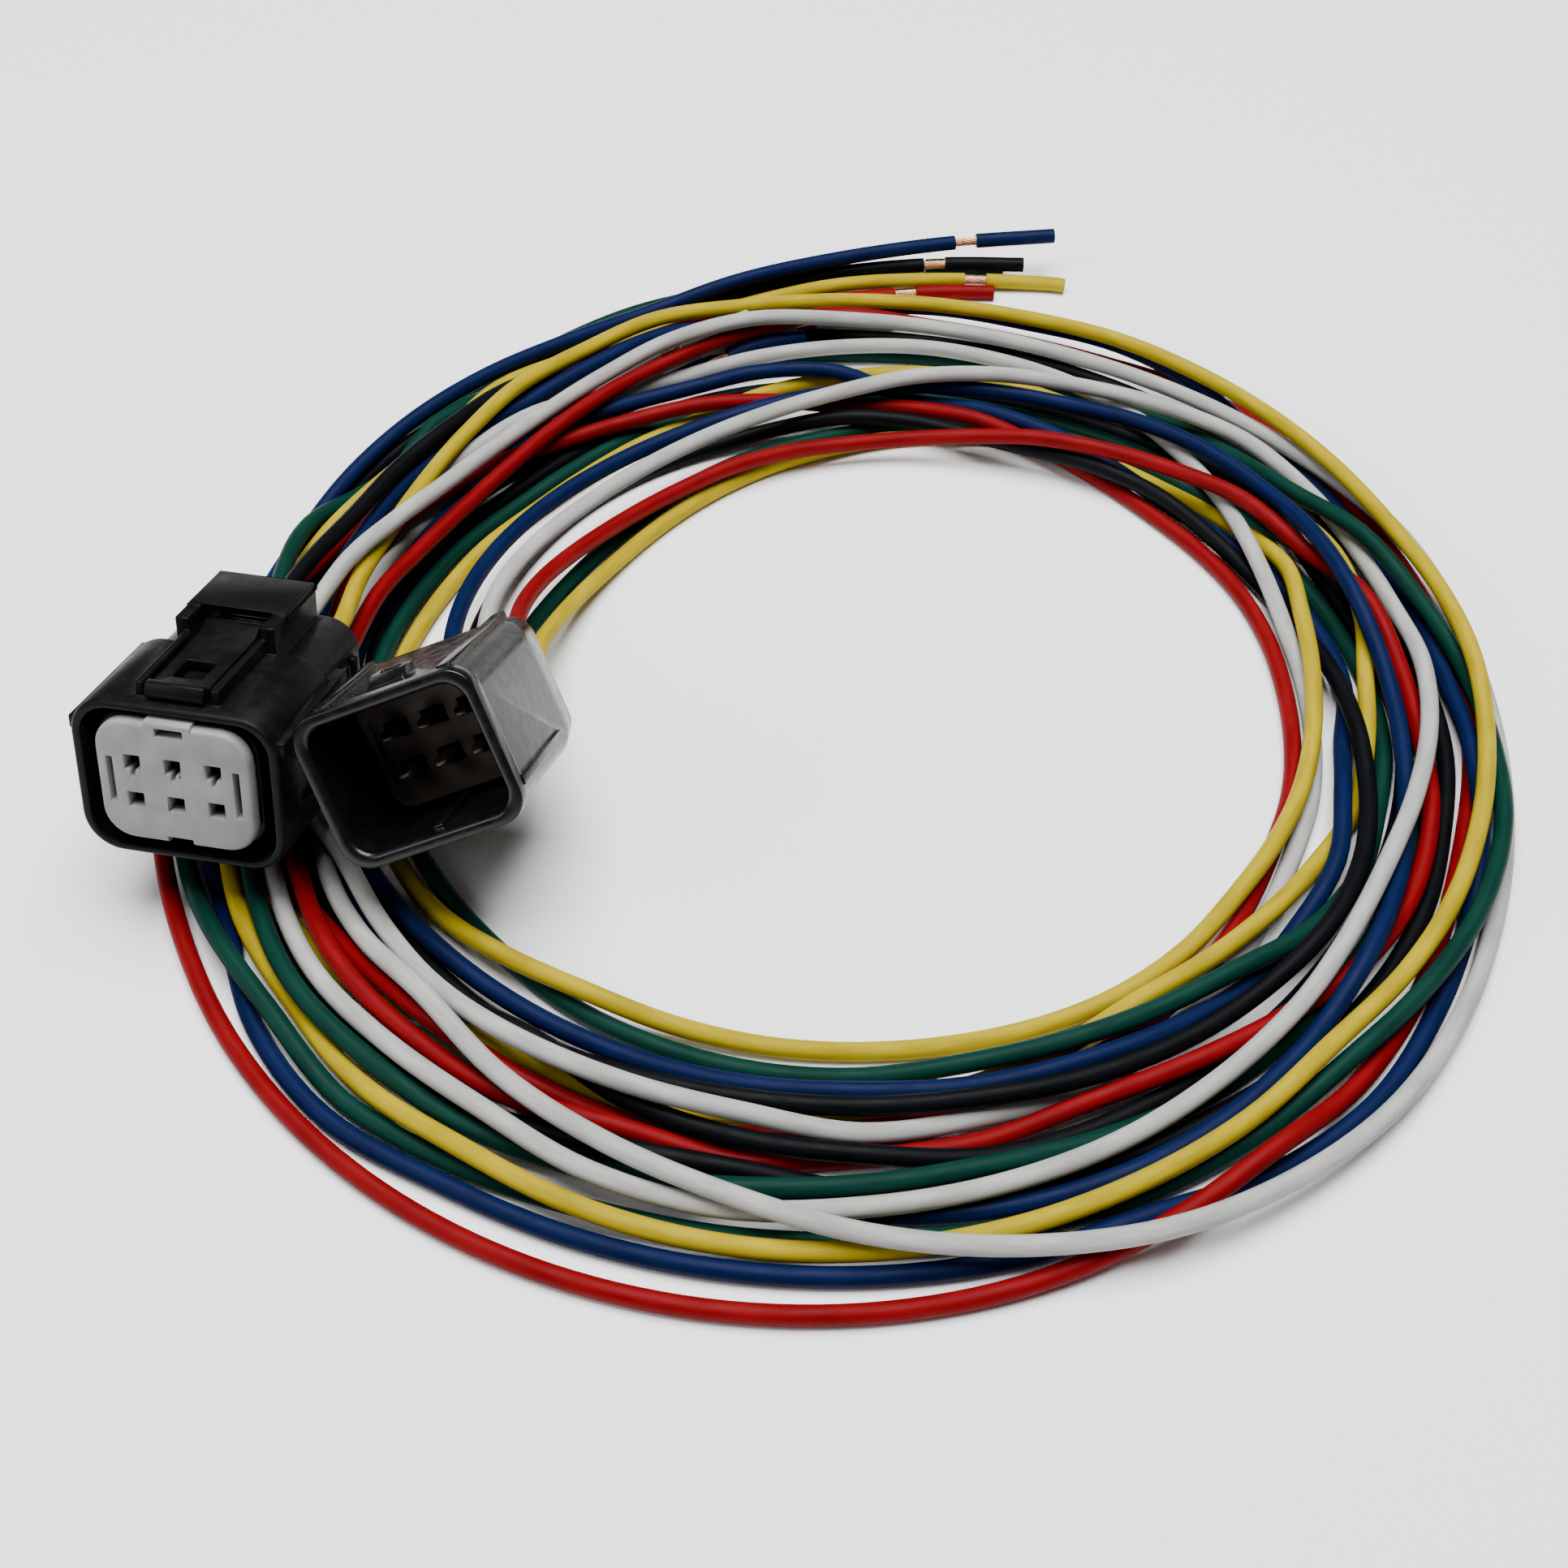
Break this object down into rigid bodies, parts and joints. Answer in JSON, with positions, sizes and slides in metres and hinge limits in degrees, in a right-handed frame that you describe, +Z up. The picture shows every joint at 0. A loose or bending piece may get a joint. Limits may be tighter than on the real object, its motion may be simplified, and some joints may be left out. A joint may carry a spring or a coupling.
{
  "type": "two-connector wiring harness",
  "caption": "Loosely coiled wiring harness with a sealed female and a sealed male multi-way connector, each with coloured single wires ending in partly stripped tips.",
  "frame": {"origin": "middle of the object's box in X and Y, on the surface it lies on", "axes": "+Z up from the surface; the connectors lie at the coil's -X side with their mating faces towards -Y"},
  "size_m": [0.1246, 0.1422, 0.0265],
  "materials": {
    "black_plastic": "glossy black moulded plastic",
    "grey_plastic": "satin light grey moulded plastic",
    "seal": "matt brick-red silicone",
    "tin": "tin-plated stamped terminal",
    "copper": "bare copper strands",
    "red": "satin red wire insulation",
    "yellow": "satin yellow wire insulation",
    "white": "satin white wire insulation",
    "blue": "satin dark blue wire insulation",
    "black": "satin black wire insulation",
    "green": "satin dark green wire insulation"
  },
  "bodies": {
    "root": {"female_housing": "black_plastic", "female_interface_seal": "seal", "female_terminal_1": "tin", "female_terminal_2": "tin", "female_terminal_3": "tin", "female_terminal_4": "tin", "female_terminal_5": "tin", "female_terminal_6": "tin", "female_rear_wire_seal": "seal", "female_rear_cap": "black_plastic", "male_housing": "black_plastic", "male_terminal_1": "tin", "male_terminal_2": "tin", "male_terminal_3": "tin", "male_terminal_4": "tin", "male_terminal_5": "tin", "male_terminal_6": "tin", "male_rear_wire_seal": "seal", "male_rear_cap": "black_plastic", "female_black_wire": "black", "female_black_conductor": "copper", "female_black_slug": "black", "female_white_wire": "white", "female_white_conductor": "copper", "female_white_slug": "white", "female_yellow_wire": "yellow", "female_yellow_conductor": "copper", "female_yellow_slug": "yellow", "female_green_wire": "green", "female_green_conductor": "copper", "female_green_slug": "green", "female_blue_wire": "blue", "female_blue_conductor": "copper", "female_blue_slug": "blue", "female_red_wire": "red", "female_red_conductor": "copper", "female_red_slug": "red", "male_black_wire": "black", "male_black_conductor": "copper", "male_black_slug": "black", "male_white_wire": "white", "male_white_conductor": "copper", "male_white_slug": "white", "male_yellow_wire": "yellow", "male_yellow_conductor": "copper", "male_yellow_slug": "yellow", "male_green_wire": "green", "male_green_conductor": "copper", "male_green_slug": "green", "male_blue_wire": "blue", "male_blue_conductor": "copper", "male_blue_slug": "blue", "male_red_wire": "red", "male_red_conductor": "copper", "male_red_slug": "red"},
    "female_lock": {"female_secondary_lock": "grey_plastic"},
    "female_latch": {"female_latch_lever": "black_plastic"},
    "male_lock": {"male_secondary_lock": "grey_plastic"}
  },
  "joints": [
    {"name": "female_lock_slide", "type": "slide", "parent": "root", "child": "female_lock", "axis": [-0.2098, -0.9465, 0.2453], "range_m": [0, 0.0015]},
    {"name": "female_latch_hinge", "type": "hinge", "parent": "root", "child": "female_latch", "pos_m": [-0.05136, -0.02006, 0.02036], "axis": [-0.9772, 0.2114, -0.0203], "range_deg": [0, 4], "stiffness_Nm_per_rad": 0.3},
    {"name": "male_lock_slide", "type": "slide", "parent": "root", "child": "male_lock", "axis": [-0.1689, -0.8941, 0.4147], "range_m": [0, 0.0012]}
  ]
}
